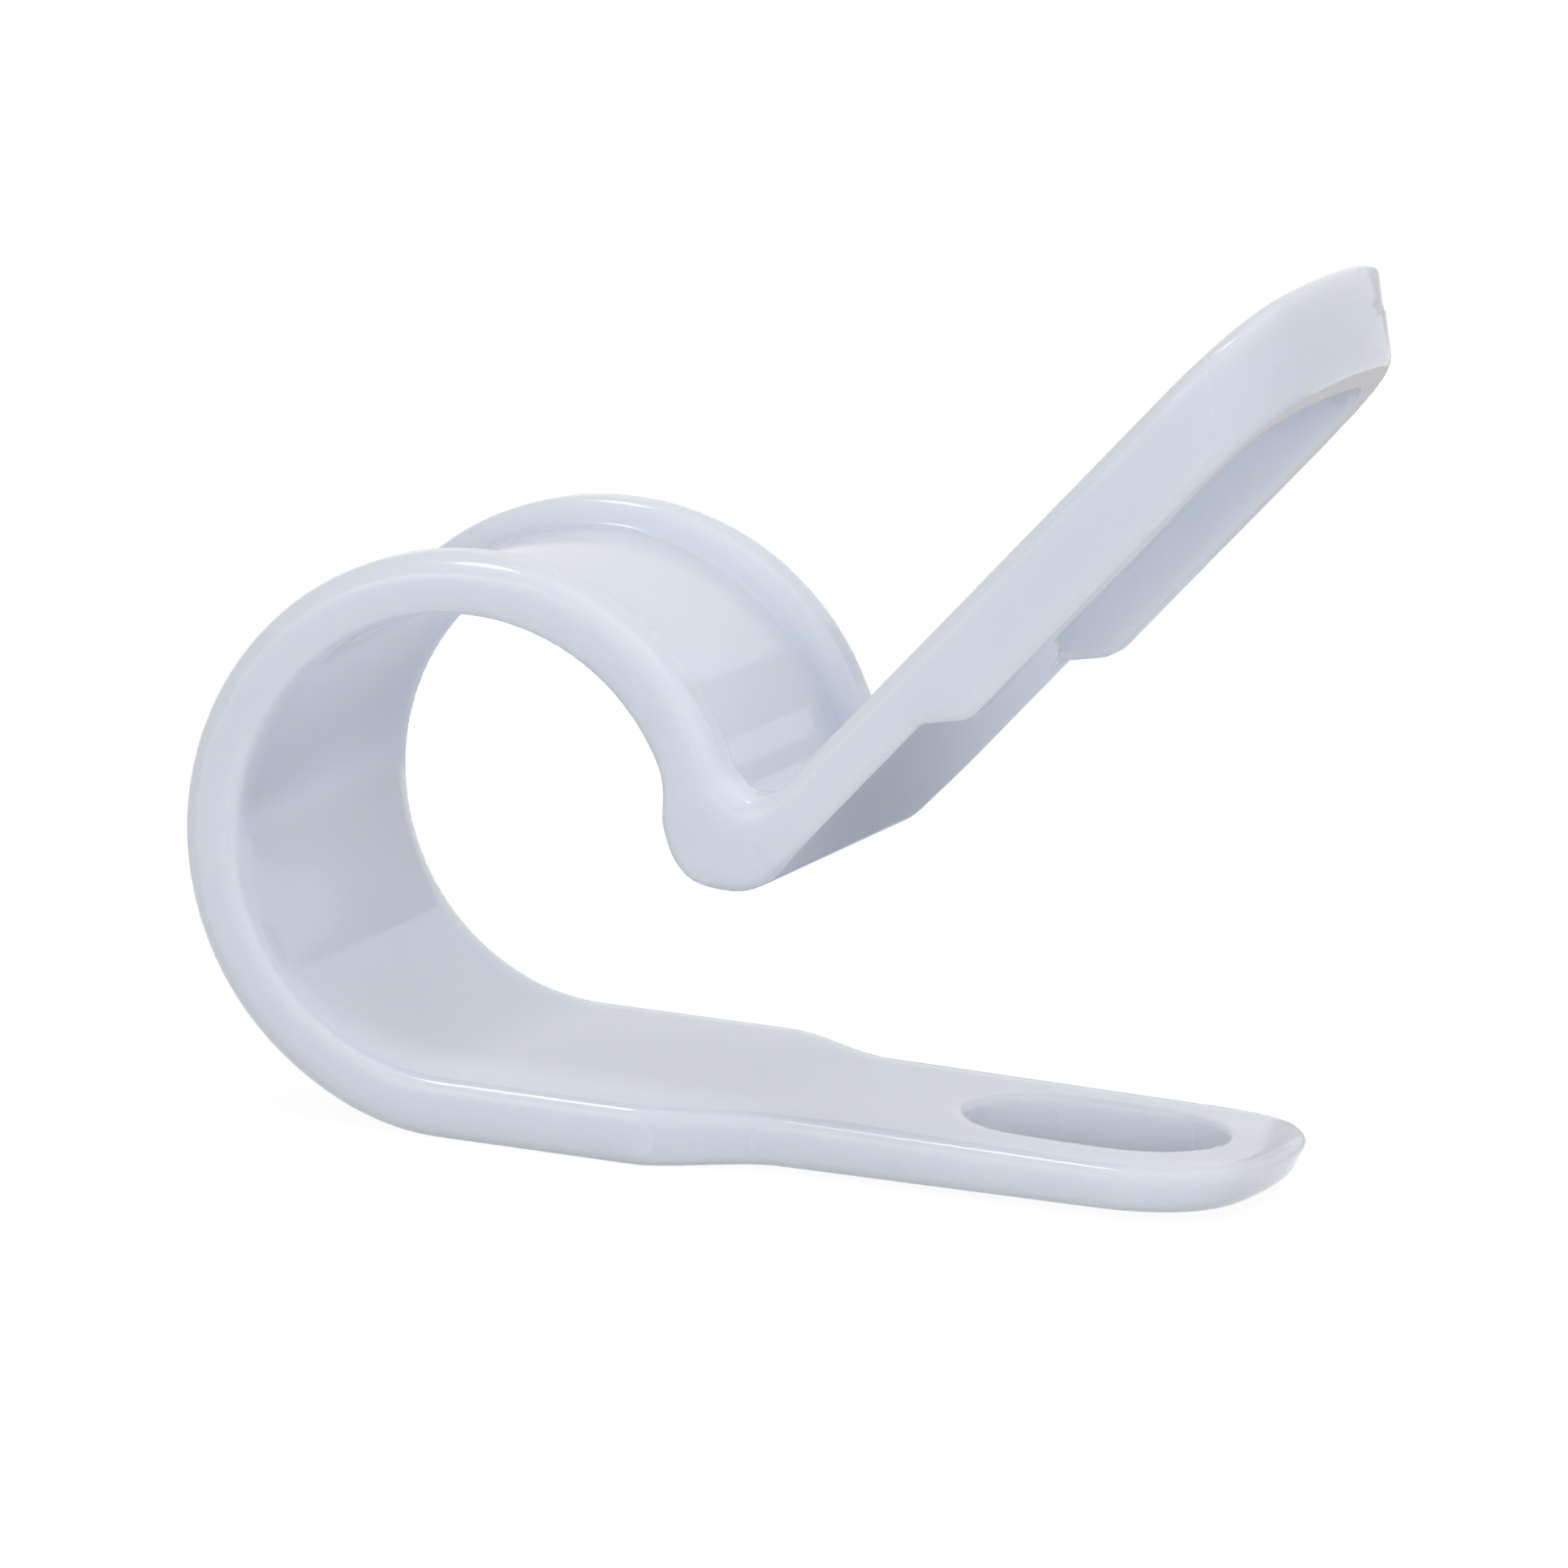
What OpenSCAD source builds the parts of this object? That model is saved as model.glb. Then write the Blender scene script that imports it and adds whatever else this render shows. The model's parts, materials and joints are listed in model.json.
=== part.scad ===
// Cable clamp: one moulded strap, bent into an open loop with two legs.
// The lower leg carries a screw slot and lies on the panel. The upper leg stands open and has
// a pocket underneath, which takes the end of the lower leg when the clamp is closed.
// The cable runs along Y. The origin is the centre of the screw slot, on the panel.

/* [Strap] */
// Width of the strap, along the cable
strap_w = 10; // [9:0.1:14]
// Thickness of the strap at its rims
strap_t = 1.35; // [1.2:0.05:1.8]
// Radius that rounds the long edges of the strap
edge_r = 0.45; // [0.2:0.01:0.5]

/* [Loop] */
// Inside diameter of the loop, as moulded
loop_d = 10; // [8:0.1:16]
// Angle above the cable's centre line at which the loop ends and the upper leg starts
mouth_angle = 9.6; // [6:0.1:14]
// Depth of the channel in the outside of the loop
channel_depth = 0.6; // [0.3:0.01:0.65]
// Width of the rim on each side of the channel
rim_w = 1.3; // [1.1:0.05:1.8]
// Radius of the valley between the loop and the upper leg
valley_r = 0.8; // [0.5:0.05:1]
// Radius of the round nose under the bend
nose_r = 1.4; // [1.3:0.05:1.6]
// How far the nose stands into the loop, proud of its inside
nose_swell = 0.08; // [0.05:0.01:0.25]

/* [Lower leg] */
// Distance from the loop's centre to the centre of the screw slot
slot_at = 13.2; // [12.8:0.1:16]
// Distance from the slot's centre to the end of the foot
foot_reach = 4.3; // [4:0.05:6]
// How much narrower the foot is than the strap, on each side
foot_inset = 1.3; // [1.2:0.05:1.6]
// Thickness of the foot where the neck ends
foot_t = 1.18; // [1:0.01:1.3]
// Height of the foot's underside above the panel where the neck ends
foot_rise = 0.1; // [0:0.01:0.2]
// Angle by which the foot's two faces taper towards its end
foot_taper = 0.5; // [0.1:0.1:1]
// Distance from the loop's centre to the start of the neck
neck_at = 4.3; // [3:0.1:5]
// Length of the neck, over which the strap narrows to the foot
neck_len = 3; // [2:0.1:4]
// Radius of the arc across the end of the foot
foot_end_r = 12; // [8:0.5:16]
// Radius of the foot's two corners
foot_corner_r = 2; // [1:0.1:2.2]

/* [Screw] */
// Width of the screw slot and diameter of the hole in the upper leg
screw_d = 4.3; // [3.2:0.1:4.5]
// Length of the screw slot
slot_len = 5.8; // [5:0.1:6.5]

/* [Upper leg] */
// Angle of the upper leg above the panel
leg_angle = 49.7; // [40:0.1:58]
// Thickness of the upper leg before its lips
leg_t = 1.22; // [1:0.01:1.4]
// Depth of the lips below the leg
lip_drop = 0.68; // [0.5:0.01:0.9]
// Length of the slope at the start of the lips
lip_slope = 0.85; // [0.5:0.05:1.2]
// Thickness of the leg over the pocket
pocket_t = 0.75; // [0.6:0.05:0.9]
// Radius of the arc at the start of the pocket
pocket_start_r = 5.2; // [4.5:0.1:7]
// How far that arc stands past the start of the lips in the middle
pocket_bow = 1.5; // [1:0.05:1.6]
// Radius of the pocket's corners at the tip
pocket_corner_r = 1.6; // [1:0.1:2]
// Radius of the arc across the tip
tip_end_r = 20; // [14:0.5:28]
// Radius of the tip's two corners
tip_corner_r = 2.3; // [1.2:0.1:2.6]

/* [Ends] */
// Angle by which the upper leg's end wall leans back towards its lower edge
tip_lean = 38; // [20:1:42]
// Angle by which the foot's end wall leans back towards its lower edge
foot_lean = 24; // [10:1:40]
// Angle by which the upper edge of both end walls is bevelled
end_bevel = 42; // [30:1:60]
// Depth of that bevel
end_edge = 0.28; // [0.1:0.01:0.4]

/* [Closing] */
// Distance from the loop's centre to the bend when the clamp is closed
fold_at = 4; // [3.6:0.1:4.4]
// Room between the foot's sides and the pocket
side_clear = 0.35; // [0.2:0.05:0.4]
// Room between the foot's end and the pocket
tip_clear = 1.2; // [0.6:0.05:1.6]
// Room between the end of the neck and the start of the lips
lip_clear = 1.55; // [1:0.05:2]

/* [Hidden] */
$fn = 96;

natural_nylon = [0.86, 0.88, 0.93];

// The loop's walls
loop_r = loop_d / 2;
outer_r = loop_r + strap_t;
floor_r = outer_r - channel_depth;

// The foot
foot_w = strap_w - 2 * foot_inset;
neck_end = neck_at + neck_len;
foot_end = slot_at + foot_reach;
// Height of the top of the foot at its end
end_top = foot_rise + foot_t - (foot_end - neck_end) * tan(foot_taper);
// Straight steps that make up the neck
neck_steps = 6;

// Lengths along the upper leg and depths below its top face, where the closed clamp's foot fits in
lip_t = leg_t + lip_drop;
lip_w = foot_inset - side_clear;
pocket_w = foot_w + 2 * side_clear;
lip_at = neck_end - fold_at + lip_clear;
hole_at = slot_at - fold_at;
pocket_end = foot_end - fold_at + tip_clear;
leg_len = pocket_end + lip_w + (lip_t - end_edge) * tan(tip_lean);

// How deep a rounded fill sinks into what it joins, so that its arc crosses the faces
sink = 0.02;
// Share of the wall's thickness that the valley's fill takes up
fill_share = 0.75;
// Angle by which the bend runs into the loop and the leg
bend_lap = 20;
// How far two runs of strap overlap where they join
join = 0.05;
// How far a cut runs past the face it opens
past = 1;
// How far the corners of an end's outline stand out past its sides and its arc, so that they cross them
over = 0.03;
// A length that reaches past the whole clamp
far = leg_len + foot_end;

// The corner where the loop's outside would meet the upper leg's top face
corner = outer_r * [cos(mouth_angle), sin(mouth_angle)];
// Depth of that face below the loop's centre, square to the leg
leg_below = outer_r * sin(leg_angle - mouth_angle);
// Distance of the corner along the leg from the loop's centre
leg_from = outer_r * cos(leg_angle - mouth_angle);

// Distance along the leg of a point that lies reach from the loop's centre and below it by a depth
function along(reach, depth) = sqrt(reach * reach - depth * depth);
// That point itself
function beside_leg(reach, depth) =
    along(reach, depth) * [cos(leg_angle), sin(leg_angle)] + depth * [sin(leg_angle), -cos(leg_angle)];

// The nose swells out of the loop's inside and touches the underside of the upper leg
nose_reach = loop_r - nose_swell + nose_r;
nose_depth = leg_below + leg_t + sink - nose_r;
nose = beside_leg(nose_reach, nose_depth);
// The upper leg starts over the nose
leg_start = along(nose_reach, nose_depth) - leg_from;

// A function that rises from 0 to 1 with level ends
function ease(u) = u * u * (3 - 2 * u);

// Section of a strap with rounded edges: thickness along x, width along y
module strap_section(t, w, r) {
    translate([r, -w / 2]) square([t - 2 * r, w]);
    translate([0, r - w / 2]) square([t, w - 2 * r]);
    for (x = [r, t - r], side = [-1, 1]) {
        translate([x, side * (w / 2 - r)]) circle(r);
    }
}

// Section that is rounded only at its edges where x is t
module half_section(t, w, r) {
    translate([0, -w / 2]) square([t - r, w]);
    translate([0, r - w / 2]) square([t, w - 2 * r]);
    for (side = [-1, 1]) {
        translate([t - r, side * (w / 2 - r)]) circle(r);
    }
}

// Section of the channel: its walls curl out over the rims and into the floor
module channel_section() {
    curl = channel_depth / 2;
    half = strap_w / 2 - rim_w;
    difference() {
        union() {
            translate([strap_t - channel_depth, -half]) square([channel_depth + past, 2 * half]);
            translate([strap_t - curl, -half - curl]) square([curl + past, 2 * (half + curl)]);
        }
        for (side = [-1, 1]) {
            translate([strap_t - curl, side * (half + curl)]) circle(curl);
        }
        for (side = [-1, 1]) {
            difference() {
                translate([strap_t - channel_depth - curl, side * half - curl]) square(2 * curl);
                translate([strap_t - curl, side * (half - curl)]) circle(curl);
            }
        }
    }
}

// Turns a section about the Y axis, from one angle to another, measured from +X towards +Z
module turn(from, to) {
    rotate([90, 0, 0]) rotate_extrude(start = from, angle = to - from) children();
}

// Runs a section along X, with its thickness up
module run(from, to) {
    translate([to, 0, 0]) rotate([0, -90, 0]) linear_extrude(to - from) children();
}

// Outline of a leg's end, seen from above: straight sides, rounded corners and an arc across
module end_outline(from, to, w, corner_r, end_r) {
    inner = w / 2 - corner_r;
    corner_x = to - corner_r - end_r + sqrt(end_r * end_r - inner * inner) + over;
    intersection() {
        union() {
            translate([from, -w / 2]) square([corner_x - from, w]);
            translate([from, -inner]) square([to - from, 2 * inner]);
            for (side = [-1, 1]) {
                translate([corner_x, side * inner]) circle(corner_r);
            }
        }
        translate([to - end_r, 0]) circle(end_r, $fn = 2 * $fn);
    }
}

// The space that the end of a leg fills: its end wall leans back downwards from x = 0, z = 0,
// and upwards from there it is bevelled
module end_space(w, corner_r, end_r, lean) {
    intersection() {
        rotate([0, lean, 0]) end_prism(w + 2 * over, corner_r, end_r);
        rotate([0, -end_bevel, 0]) end_prism(w + 4 * over, corner_r, end_r);
    }
}

// A prism with the outline of a leg's end
module end_prism(w, corner_r, end_r) {
    linear_extrude(2 * far, center = true) end_outline(-far, 0, w, corner_r, end_r);
}

// The loop, with the channel round its outside
module loop() {
    turn(mouth_angle, 270) translate([loop_r, 0]) difference() {
        strap_section(strap_t, strap_w, edge_r);
        channel_section();
    }
}

// The bend from the loop into the upper leg: a round nose below and the rounded valley above
module bend() {
    translate([nose[0], 0, nose[1]]) turn(180 + mouth_angle - bend_lap, 270 + leg_angle + bend_lap) {
        half_section(nose_r, strap_w, edge_r);
    }
    for (side = [-1, 1]) {
        translate([0, side * (strap_w - rim_w) / 2, 0]) valley(outer_r, rim_w);
    }
    valley(floor_r, strap_w - 2 * rim_w + 2 * edge_r);
}

// A rounded fill between a round wall and the top of the upper leg
module valley(wall_r, w) {
    centre = beside_leg(wall_r + valley_r - sink, leg_below + sink - valley_r);
    from = 180 + atan2(centre[1], centre[0]) - bend_lap;
    t = fill_share * (wall_r - loop_r);
    translate([centre[0], 0, centre[1]]) turn(from, 270 + leg_angle + bend_lap) {
        translate([valley_r + t, 0]) mirror([1, 0]) half_section(t, w, min(edge_r, t / 2));
    }
}

// The upper leg, lying along X from the corner, with its top face at height 0
module upper_leg() {
    difference() {
        union() {
            translate([0, 0, -leg_t]) run(leg_start, lip_at + join) strap_section(leg_t, strap_w, edge_r);
            intersection() {
                translate([0, 0, -lip_t]) run(lip_at, leg_len + past) half_section(lip_t, strap_w, edge_r);
                rotate([90, 0, 0]) linear_extrude(2 * strap_w, center = true) polygon([
                    [lip_at - past, past],
                    [leg_len + past, past],
                    [leg_len + past, -lip_t - past],
                    [lip_at + lip_slope * (1 + past / lip_drop), -lip_t - past],
                    [lip_at, -leg_t],
                    [lip_at - past, -leg_t]
                ]);
                translate([leg_len, 0, -end_edge]) end_space(strap_w, tip_corner_r, tip_end_r, tip_lean);
            }
        }
        pocket();
        translate([hole_at, 0, -lip_t]) cylinder(h = lip_t + past, d = screw_d);
    }
}

// The pocket between the lips. It starts at an arc, before which the leg keeps its thickness
module pocket() {
    difference() {
        translate([0, 0, -lip_t - past]) linear_extrude(lip_t + past - pocket_t) {
            end_outline(lip_at, pocket_end, pocket_w, pocket_corner_r, tip_end_r);
        }
        translate([lip_at + pocket_bow - pocket_start_r, 0, -leg_t]) {
            cylinder(h = leg_t, r = pocket_start_r, $fn = 2 * $fn);
        }
    }
}

// The lower leg, lying on the panel, measured from the loop's centre
module lower_leg() {
    run(0, neck_at) strap_section(strap_t, strap_w, edge_r);
    for (i = [0 : neck_steps - 1]) {
        hull() {
            neck_slice(i / neck_steps);
            neck_slice((i + 1) / neck_steps);
        }
    }
    intersection() {
        translate([neck_end, 0, foot_rise + foot_t]) rotate([0, foot_taper, 0]) foot_half();
        translate([neck_end, 0, foot_rise]) rotate([0, -foot_taper, 0]) mirror([0, 0, 1]) foot_half();
        translate([foot_end, 0, end_top - end_edge]) {
            end_space(foot_w, foot_corner_r, foot_end_r, foot_lean);
        }
    }
}

// A block as wide as the foot, with rounded upper edges, whose top starts at the origin
module foot_half() {
    t = 2 * foot_t;
    translate([0, 0, -t]) run(0, far) half_section(t, foot_w, edge_r);
}

// One thin slice of the neck, a share u of the way from the strap to the foot
module neck_slice(u) {
    t = strap_t + (foot_t - strap_t) * ease(u);
    w = strap_w + (foot_w - strap_w) * ease(u);
    at = neck_at + neck_len * u;
    translate([0, 0, foot_rise * ease(u)]) run(at - join, at + join) strap_section(t, w, edge_r, $fn = 32);
}

// The screw slot, through the lower leg
module slot() {
    half = (slot_len - screw_d) / 2;
    translate([0, 0, -past]) linear_extrude(strap_t + 2 * past) {
        square([2 * half, screw_d], center = true);
        for (side = [-1, 1]) {
            translate([side * half, 0]) circle(d = screw_d);
        }
    }
}

module clamp() {
    color(natural_nylon) difference() {
        translate([-slot_at, 0, 0]) {
            lower_leg();
            translate([0, 0, outer_r]) {
                loop();
                bend();
                translate([corner[0], 0, corner[1]]) rotate([0, -leg_angle, 0]) upper_leg();
            }
        }
        slot();
    }
}

clamp();
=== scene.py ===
import json
import math
from types import SimpleNamespace

import bpy
from bpy.props import FloatProperty, FloatVectorProperty, PointerProperty
from mathutils import Matrix, Vector


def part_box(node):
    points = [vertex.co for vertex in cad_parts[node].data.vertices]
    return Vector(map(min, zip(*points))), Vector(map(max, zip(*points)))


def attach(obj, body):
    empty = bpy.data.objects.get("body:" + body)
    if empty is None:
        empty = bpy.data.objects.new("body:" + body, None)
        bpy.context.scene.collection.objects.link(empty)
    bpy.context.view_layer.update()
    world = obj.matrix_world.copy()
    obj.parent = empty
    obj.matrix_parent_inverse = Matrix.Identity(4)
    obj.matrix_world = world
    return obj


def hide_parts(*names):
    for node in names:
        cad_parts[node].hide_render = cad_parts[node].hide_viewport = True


bl_info = {
    "name": "Moulded cable clamp",
    "version": (1, 0, 0),
    "blender": (4, 5, 0),
    "location": "View3D > Sidebar > Clamp",
    "description": "Builds an open nylon cable clamp, and the studio that it is seen in",
    "category": "Add Mesh",
}

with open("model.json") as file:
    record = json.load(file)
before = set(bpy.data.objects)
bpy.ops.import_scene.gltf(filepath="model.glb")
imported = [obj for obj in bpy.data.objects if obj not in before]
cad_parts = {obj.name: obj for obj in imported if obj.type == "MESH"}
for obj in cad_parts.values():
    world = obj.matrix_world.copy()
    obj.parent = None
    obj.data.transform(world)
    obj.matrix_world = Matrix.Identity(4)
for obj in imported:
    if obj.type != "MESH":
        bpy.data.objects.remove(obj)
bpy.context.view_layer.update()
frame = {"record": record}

MM = 0.001

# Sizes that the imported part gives, in millimetres and degrees
mounts = {mount["name"]: mount for mount in frame["record"]["mounts"]}
loop_mount = mounts["cable_loop"]
hole_mount = mounts["upper_screw_hole"]
lowest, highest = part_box("clamp")

LOOP_R = loop_mount["dims"]["r_mm"]
SLOT_AT = -loop_mount["pos_m"][0] / MM
STRAP_T = loop_mount["pos_m"][2] / MM - LOOP_R
STRAP_W = (highest.y - lowest.y) / MM
SCREW_D = 2 * hole_mount["dims"]["r_mm"]
LEG_ANGLE = math.degrees(math.atan2(-hole_mount["axis"][0], hole_mount["axis"][2]))

# The foot's end, which follows the slot, in millimetres
FOOT_PAST_SLOT = 4.3
FOOT_END = SLOT_AT + FOOT_PAST_SLOT

# Places and reaches of the blends between the clamp's forms, in millimetres
LEG_LEVEL = -2.0  # the lower leg lies below this height, from the loop's centre
SLOT_LEVEL = -3.0  # and its slot is cut below this one
FOOT_EDGE_RUN = (-4.0, 0.0)  # where the loop's edges turn into the lower leg's
RIM_EDGE_RUN = 0.4  # how far from its middle the strap's inner edges turn into outer ones
LEG_EDGE_RUN = (-0.5, 1.5)  # where the loop's edges turn into the upper leg's
LIP_EDGE_RUN = (0.4, 0.8)  # depth at which the leg's top edges turn into its lower ones
LEG_ROOT_LEAN = 0.45  # how far the upper leg's root leans over its thickness
LEG_ROOT_BACK = 0.3  # and how far it reaches back into the loop
NOSE_ROOF = 0.2  # height at which the nose ends inside the bend
NOSE_BLEND = 0.9
VALLEY_FADE = (0.2, 1.0)  # depth below the leg's top over which the valley's fill fades
VALLEY_LEAST = 0.05
PARTING_SOFT = 0.05
LIP_LEAD = 1.0  # how far before the lips' start their solid begins
LIP_START_BLEND = 0.1
LIP_END_BLEND = 0.25
LIP_GAP_LEAD = 2.0  # how far before the lips' start the gap between them begins
POCKET_REACH = 4.0  # how far below the leg's top the pocket is cut
POCKET_FLOOR_BLEND = 0.25
POCKET_RIM = 0.16
HOLE_REACH = 3.0  # how far the hole is cut to both sides of the leg's top
DEEP_INSIDE = -9.0

# How far the loop's cut end turns from the mouth's angle, inside and outside
MOUTH_IN = math.radians(6.0)
MOUTH_OUT = math.radians(2.0)

# Softness of the legs' corners: their reach against a plain radius, and their power
CORNER_REACH = 1.4
CORNER_POWER = 3.0

# Scales of the nylon's noise: the clouds in its colour, its gloss and its grain
CLOUD_SCALE = 240.0
GLOSS_SCALE = 900.0
GRAIN_SCALE = 1600.0

# The nylon's surface, and how it bends and spreads light
SIDE_STARTS = 0.5  # how far sideways a face looks where the duller finish starts
GLOSS_UNEVEN = 0.06  # how much roughness the noise adds
GRAIN_DEPTH = 0.06 * MM
GRAIN_POLISHED = 0.02  # strength of the grain on polished faces
GRAIN_DULL = 0.15  # and on side faces
NYLON_IOR = 1.53
NYLON_SPREAD = (1.0, 0.92, 0.82)  # how far red, green and blue spread, as shares

# The world's light: the side it is strongest from, its least and most, as shares of
# the fill light, and its tint
WORLD_SIDE = (0.45, -0.25, 0.85)
WORLD_LEAST = 0.6
WORLD_MOST = 1.4
WORLD_TINT = (0.93, 0.95, 1.0, 1.0)

# The floor: half its width and its gap below the clamp, in metres, the tone of the light
# that it sends back, and the strength and share of the glow that makes it look white
FLOOR_HALF = 2.0
FLOOR_GAP = 0.02 * MM
FLOOR_TONE = (0.70, 0.70, 0.71, 1.0)
FLOOR_GLOW = 1.06
FLOOR_GLOW_SHARE = 0.88
WHITE = (1.0, 1.0, 1.0, 1.0)

# Place that the camera looks at, and place that the lamps shine at, in metres
CAMERA_TARGET = (-0.007603, 0.0, 0.007674)
LAMP_AIM = (-0.007, 0.0, 0.008)

# Lamps: name, place, width and height, watts, tint, and whether they show in gloss
LAMPS = (
    ("top_lamp", (-0.158, -0.10, 0.42), (0.09, 0.09), 0.26, (0.98, 0.99, 1.0), True),
    ("window_lamp", (-0.218, -0.37, 0.156), (0.16, 0.10), 0.18, (0.98, 0.99, 1.0), True),
    ("sky_lamp", (0.12, 0.05, 0.5), (0.5, 0.5), 0.5, (0.95, 0.97, 1.0), True),
    ("front_lamp", (0.238, -0.424, 0.139), (0.6, 0.25), 1.1, (0.97, 0.975, 1.0), False),
    ("back_lamp", (0.0, 0.5, 0.3), (0.8, 0.3), 1.05, (0.9, 0.95, 1.0), False),
)

# The cards glow and show only in gloss, where they paint reflections. The card on the floor paints
# the floor's shade near the clamp, darkest at its middle, where it paints the clamp's shadow on the
# floor, and the two upright ones paint grey reflected patches, each in one shade
LOW_CARD_AT = (-0.006, 0.018, 0.0)
LOW_CARD = ((-0.04, -0.011, 0.0), (0.03, -0.011, 0.0), (0.03, 0.025, 0.0), (-0.04, 0.025, 0.0))
LOW_CARD_SHADOW = (0.22, 0.23, 0.29)
LOW_CARD_FLOOR_SHADE = (0.64, 0.67, 0.77)
LOW_CARD_SHADOW_SPREAD = 0.014
UPRIGHT_CARD_AT = (0.0, 0.04, 0.0)
# The channel card paints a grey reflected patch on the channel's floor, standing in for a room's
# darker band
CHANNEL_CARD = (
    (0.002, 0.0, 0.0136), (0.012, 0.0, 0.0182), (0.004, 0.0, 0.029), (-0.001, 0.0, 0.0185)
)
CHANNEL_CARD_SHADE = (0.66, 0.62, 0.60)
# The loop card paints grey reflected patches on the loop's inside
LOOP_CARD = (
    (-0.007, 0.0, 0.0002), (0.004, 0.0, 0.0002), (-0.0045, 0.0, 0.0194), (-0.0095, 0.0, 0.0127)
)
LOOP_CARD_SHADE = (0.62, 0.58, 0.55)


def length(name, text, size):
    """A property that holds a length, with its default in millimetres."""
    return FloatProperty(
        name=name,
        description=text,
        default=size * MM,
        precision=5,
        subtype="DISTANCE",
        unit="LENGTH",
    )


def angle(name, text, degrees):
    """A property that holds an angle, with its default in degrees."""
    return FloatProperty(
        name=name, description=text, default=math.radians(degrees), subtype="ANGLE", unit="ROTATION"
    )


def colour(name, text, rgb):
    """A property that holds a colour."""
    return FloatVectorProperty(
        name=name, description=text, default=rgb, size=3, min=0.0, max=1.0, subtype="COLOR"
    )


def share(name, text, value):
    """A property that holds a share from 0 to 1."""
    return FloatProperty(
        name=name, description=text, default=value, min=0.0, max=1.0, subtype="FACTOR"
    )


class ClampSizes(bpy.types.PropertyGroup):
    """Sizes of the moulded strap."""

    strap_w: length("Strap width", "Width of the strap, along the cable", STRAP_W)
    strap_t: length("Strap thickness", "Thickness of the strap at its rims", STRAP_T)
    rim_edge_r: length("Rim edges", "Radius that rounds the outer edges of the loop's rims", 0.62)
    edge_r: length("Loop edges", "Radius that rounds the inner edges of the loop", 0.24)
    loop_r: length("Loop radius", "Inside radius of the loop", LOOP_R)
    crown: length("Crown", "How far the loop's inside falls back towards its edges", 0.08)
    crown_w: length("Crown width", "Width of that fall along each edge", 1.0)
    mouth_angle: angle(
        "Mouth angle", "Angle above the cable's centre line at which the loop ends", 9.6
    )
    channel_depth: length("Channel depth", "Depth of the channel round the loop's outside", 0.6)
    rim_w: length("Rim width", "Width of the rim on each side of the channel", 1.3)
    rim_slope: length(
        "Channel wall", "Width over which the channel's wall falls to its floor", 0.45
    )
    channel_fade: length(
        "Channel run-out", "Length over which the channel runs out at the base", 0.6
    )
    valley_r: length(
        "Valley", "Reach of the rounding in the valley between loop and upper leg", 1.35
    )
    nose_r: length("Nose radius", "Radius of the round nose under the bend", 1.4)
    nose_swell: length("Nose swell", "How far the nose stands into the loop", 0.16)
    slot_at: length(
        "Slot distance", "Distance from the loop's centre to the slot's centre", SLOT_AT
    )
    foot_end: length("Foot end", "Distance from the loop's centre to the end of the foot", FOOT_END)
    foot_inset: length("Foot inset", "How much narrower the foot is on each side", 1.3)
    foot_t: length("Foot thickness", "Thickness of the foot where the neck ends", 1.18)
    foot_rise: length("Foot rise", "Height of the foot's underside where the neck ends", 0.1)
    foot_taper: angle("Foot taper", "Angle by which the foot's two faces taper", 0.5)
    foot_edge_r: length("Foot edges", "Radius that rounds the edges of the lower leg", 0.3)
    neck_at: length("Neck start", "Distance from the loop's centre to the neck", 4.3)
    neck_len: length("Neck length", "Length over which the strap narrows to the foot", 3.0)
    foot_end_r: length("Foot arc", "Radius of the arc across the end of the foot", 12.0)
    foot_corner_r: length("Foot corners", "Radius of the foot's two corners", 2.0)
    foot_lean: angle("Foot lean", "Angle by which the foot's end wall leans back downwards", 24.0)
    screw_d: length("Screw hole", "Width of the slot and of the hole in the upper leg", SCREW_D)
    slot_len: length("Slot length", "Length of the screw slot", 5.8)
    hole_rim: length("Hole rims", "Rounding of the rims of the slot and the hole", 0.14)
    leg_angle: angle("Leg angle", "Angle of the upper leg above the panel", LEG_ANGLE)
    leg_t: length("Leg thickness", "Thickness of the upper leg before its lips", 1.22)
    leg_edge_r: length("Leg top edges", "Radius that rounds the top edges of the upper leg", 0.42)
    lip_edge_r: length("Lip edges", "Radius that rounds the lower edges of the upper leg", 0.19)
    leg_len: length("Leg length", "Length of the upper leg from the bend to its tip", 16.84)
    lip_at: length("Lip start", "Distance along the leg at which the lips start", 4.85)
    lip_slope: length("Lip slope", "Length of the slope at the start of the lips", 0.85)
    lip_drop: length("Lip drop", "Depth of the lips below the leg", 0.68)
    pocket_t: length("Pocket thickness", "Thickness of the leg over the pocket", 0.75)
    pocket_w: length("Pocket width", "Width of the pocket under the leg", 8.1)
    pocket_start_r: length("Pocket start", "Radius of the arc at the start of the pocket", 5.2)
    pocket_bow: length("Pocket bow", "How far that arc stands past the start of the lips", 1.5)
    pocket_end: length("Pocket end", "Distance along the leg to the end of the pocket", 14.7)
    pocket_corner_r: length("Pocket corners", "Radius of the pocket's corners at the tip", 1.6)
    hole_at: length("Hole place", "Distance along the leg to the middle of its hole", 9.2)
    tip_end_r: length("Tip arc", "Radius of the arc across the tip", 20.0)
    tip_corner_r: length("Tip corners", "Radius of the tip's two corners", 2.3)
    tip_lean: angle("Tip lean", "Angle by which the tip's end wall leans back downwards", 38.0)
    end_edge: length("End edge", "Depth of the rounded upper edge at both ends", 0.28)
    parting_at: length(
        "Parting line", "Depth of the mould's parting line below the top of the tip", 1.0
    )
    parting_step: length("Parting step", "Height of the step at the mould's parting line", 0.06)
    cell: length("Mesh cell", "Size of the cells from which the surface is drawn", 0.13)


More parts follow.
